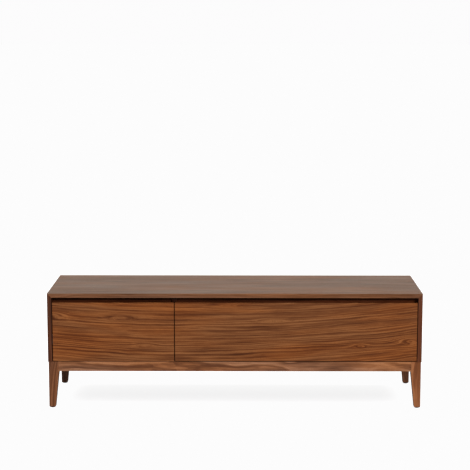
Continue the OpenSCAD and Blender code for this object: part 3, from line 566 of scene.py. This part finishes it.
def cross_recess_head(radius, height):
    """A domed head with a tapered cross recess, its seat at z = 0. Returns a mesh."""
    head = as_object("head", turned([
        (0.0, -0.15 * height), (0.45 * radius, -0.15 * height), (0.5 * radius, 0.0),
        (0.97 * radius, 0.0), (radius, 0.10 * height), (0.99 * radius, 0.35 * height),
        (0.90 * radius, 0.64 * height), (0.70 * radius, 0.87 * height),
        (0.38 * radius, 0.97 * height), (0.0, height)]))
    wing, blade = 0.60 * radius, 0.13 * radius
    deep, taper = 0.35 * height, 0.45
    cutter_mesh = bmesh.new()
    for turn in (0.0, math.pi / 2):
        corners = []
        for level, shrink in ((deep, taper), (1.4 * height, 1.25)):
            for sx, sy in ((-1, -1), (1, -1), (1, 1), (-1, 1)):
                place = Vector((sx * wing * shrink, sy * blade, level))
                place.rotate(Matrix.Rotation(turn, 3, "Z"))
                corners.append(cutter_mesh.verts.new(place))
        for face in ((3, 2, 1, 0), (4, 5, 6, 7), (0, 1, 5, 4), (1, 2, 6, 5),
                     (2, 3, 7, 6), (3, 0, 4, 7)):
            cutter_mesh.faces.new([corners[i] for i in face])
    cutter = as_object("cutter", cutter_mesh)
    cut = head.modifiers.new("recess", "BOOLEAN")
    cut.operation, cut.object, cut.solver = "DIFFERENCE", cutter, "EXACT"
    cut.use_self = True
    bpy.context.view_layer.update()
    ready = head.evaluated_get(bpy.context.evaluated_depsgraph_get())
    mesh = bpy.data.meshes.new_from_object(ready)
    for leftover in (head, cutter):
        data = leftover.data
        bpy.data.objects.remove(leftover)
        bpy.data.meshes.remove(data)
    return mesh


def loose_parts(name):
    """The (lowest, highest) corners of each separate solid in a CAD node."""
    mesh = bmesh.new()
    mesh.from_mesh(nodes[name].data)
    bmesh.ops.remove_doubles(mesh, verts=mesh.verts, dist=WELD_REACH)
    left, found = set(mesh.verts), []
    while left:
        part, front = set(), [left.pop()]
        while front:
            vert = front.pop()
            part.add(vert)
            for edge in vert.link_edges:
                other = edge.other_vert(vert)
                if other in left:
                    left.discard(other)
                    front.append(other)
        low = Vector([min(v.co[i] for v in part) for i in range(3)])
        high = Vector([max(v.co[i] for v in part) for i in range(3)])
        found.append((low, high))
    mesh.free()
    return sorted(found, key=lambda box: tuple(box[0]))


def dress_screws(name, body, facing, radius, height, seat):
    """Replaces a node's plain screws by heads with a recess. facing is the way the
    heads look, and seat the place of their undersides on that axis."""
    axis = max(range(3), key=lambda i: abs(facing[i]))
    look = Vector(facing).to_track_quat("Z", "Y").to_matrix()
    head = cross_recess_head(radius, height)
    whole = bmesh.new()
    for count, (low, high) in enumerate(loose_parts(name)):
        middle = (low + high) / 2
        middle[axis] = seat
        spin = Matrix.Rotation(SCREW_TURN * count, 3, "Z")
        one = head.copy()
        one.transform(Matrix.Translation(middle) @ (look @ spin).to_4x4())
        whole.from_mesh(one)
        bpy.data.meshes.remove(one)
    bpy.data.meshes.remove(head)
    for face in whole.faces:
        face.smooth = True
    for edge in whole.edges:
        edge.smooth = len(edge.link_faces) == 2 and edge.calc_face_angle(0.0) < SHARP
    piece = as_object(name + "_heads", whole)
    piece.data.materials.append(nodes[name].data.materials[0])
    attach(piece, body)
    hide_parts(name)


dress_screws("back_panel_screws", "cabinet", (0, 1, 0), 0.003, 0.0018,
             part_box("back_panel_left")[1].y)
dress_screws("base_screws", "cabinet", (0, 0, -1), 0.005, 0.0025,
             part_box("cross_rail_left")[0].z)
dress_screws("drawer_front_screws", "drawer", (0, 1, 0), 0.004, 0.0020,
             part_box("drawer_sub_front")[1].y)
dress_screws("hinge_flap_screws", "flap", (0, 1, 0), 0.0026, 0.0006,
             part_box("flap_door")[1].y)
dress_screws("hinge_case_screws", "cabinet", (0, -1, 0), 0.0026, 0.0006,
             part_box("hinge_case_screws")[0].y)


# ---------------------------------------------------------------- camera

LENS = 107.075
CAMERA_AT = Vector((0.026612, -6.067586, 1.619596))
PITCH, YAW, ROLL = (math.radians(d) for d in (8.4403, -0.2518, 0.0162))

forward = Vector((math.sin(YAW) * math.cos(PITCH), math.cos(YAW) * math.cos(PITCH),
                  -math.sin(PITCH)))
level = Vector((math.cos(YAW), -math.sin(YAW), 0.0))
upright = level.cross(forward)
right = math.cos(ROLL) * level + math.sin(ROLL) * upright
up = -math.sin(ROLL) * level + math.cos(ROLL) * upright
camera = bpy.data.objects.new("camera", bpy.data.cameras.new("camera"))
camera.data.lens = LENS
camera.data.sensor_width = 36.0
camera.data.clip_start, camera.data.clip_end = 0.05, 500.0
camera.matrix_world = Matrix((
    (right.x, up.x, -forward.x, CAMERA_AT.x),
    (right.y, up.y, -forward.y, CAMERA_AT.y),
    (right.z, up.z, -forward.z, CAMERA_AT.z),
    (0.0, 0.0, 0.0, 1.0)))
scene.collection.objects.link(camera)
scene.camera = camera


# ---------------------------------------------------------------- floor and light

PAPER = rgb(1.0, 0.996, 1.0)
FLOOR_GLOW = 0.855                    # the share of the floor no shadow takes away
FLOOR_SHADED = 0.34                   # reflectance that shows the shadow
FLOOR_HALF = 120.0
ROOM_BEHIND = rgb(0.95, 1.0, 0.93)    # what the top reflects
SKY_ABOVE, SKY_BEHIND, SKY_BELOW = 0.36, 1.25, 0.13
SKY_EDGES = (0.035, 0.08)             # heights between the white band and the dim parts
BEHIND_EDGES = (0.2, 0.8)             # how far back the brighter part of the sky begins
WHITE_OUT = 0.974                     # the studio's white, as it leaves the camera


def paper_floor():
    mesh = bpy.data.meshes.new("studio_floor")
    half = FLOOR_HALF
    mesh.from_pydata([(-half, -half, 0), (half, -half, 0), (half, half, 0),
                      (-half, half, 0)], [], [(0, 1, 2, 3)])
    floor = bpy.data.objects.new("studio_floor", mesh)
    scene.collection.objects.link(floor)
    floor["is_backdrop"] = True
    floor.visible_diffuse = False
    floor.visible_glossy = False
    s = Shader("studio_paper")
    glow = s.node("Emission", Color=PAPER, Strength=FLOOR_GLOW)
    matt = s.node("BsdfDiffuse", Color=scaled(PAPER, FLOOR_SHADED))
    both = s.node("AddShader")
    s.feed(both.inputs[0], glow.outputs[0])
    s.feed(both.inputs[1], matt.outputs[0])
    side = s.node("MixShader", Fac=s.node("NewGeometry").outputs["Backfacing"])
    s.feed(side.inputs[1], both.outputs[0])
    s.feed(side.inputs[2], s.node("BsdfTransparent").outputs[0])
    s.feed(s.node("OutputMaterial").inputs["Surface"], side.outputs[0])
    s.material.cycles.emission_sampling = "NONE"
    mesh.materials.append(s.material)
    return floor


def studio_sky():
    """Paper white round the horizon, dim overhead and below, brighter behind."""
    world = bpy.data.worlds.new("studio")
    world.use_nodes = True
    scene.world = world
    s = Shader("studio", world.node_tree)
    height = s.split(s.node("TexCoord").outputs["Generated"])[2]
    toward = s.split(s.node("TexCoord").outputs["Generated"])[1]
    near, far = SKY_EDGES
    behind = s.span(toward, *BEHIND_EDGES)
    dome = s.span(behind, 0.0, 1.0, SKY_ABOVE, SKY_BEHIND, smooth=False)
    high = s.span(height, near, far)
    above = s.span(high, 0.0, 1.0, 1.0, dome, smooth=False)
    below = s.span(height, -far, -near, SKY_BELOW, 1.0)
    tint = s.mix(s.math("MULTIPLY", high, behind), PAPER, ROOM_BEHIND)
    back = s.node("Background", Color=tint, Strength=s.math("MULTIPLY", above, below))
    s.feed(s.node("OutputWorld").inputs["Surface"], back.outputs[0])


def sun(name, azimuth, elevation, strength, spread, only, gloss=True):
    """Light from azimuth degrees to the right of straight in front."""
    light = bpy.data.lights.new(name, "SUN")
    light.energy = strength
    light.angle = math.radians(spread)
    lamp = bpy.data.objects.new(name, light)
    az, el = math.radians(azimuth), math.radians(elevation)
    to_lamp = Vector((math.sin(az) * math.cos(el), -math.cos(az) * math.cos(el),
                      math.sin(el)))
    lamp.rotation_euler = to_lamp.to_track_quat("Z", "Y").to_euler()
    scene.collection.objects.link(lamp)
    lamp.visible_glossy = gloss
    lit = bpy.data.collections.new(name + "_lights")
    for piece in only:
        lit.objects.link(piece)
    lamp.light_linking.receiver_collection = lit


floor = paper_floor()
studio_sky()
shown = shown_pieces()
sun("key", 20.0, 26.0, 2.1, 14.0, shown, gloss=False)
sun("key_sparkle", 20.0, 26.0, 0.4, 14.0, shown)
sun("side", 75.0, 18.0, 0.14, 30.0, shown)
sun("floor_shadow", 0.0, 74.0, 3.9, 80.0, [floor])

view = scene.view_settings
view.view_transform = "Standard"
view.use_curve_mapping = True
view.curve_mapping.extend = "HORIZONTAL"
view.curve_mapping.curves[3].points[-1].location = (1.0, WHITE_OUT)
view.curve_mapping.update()
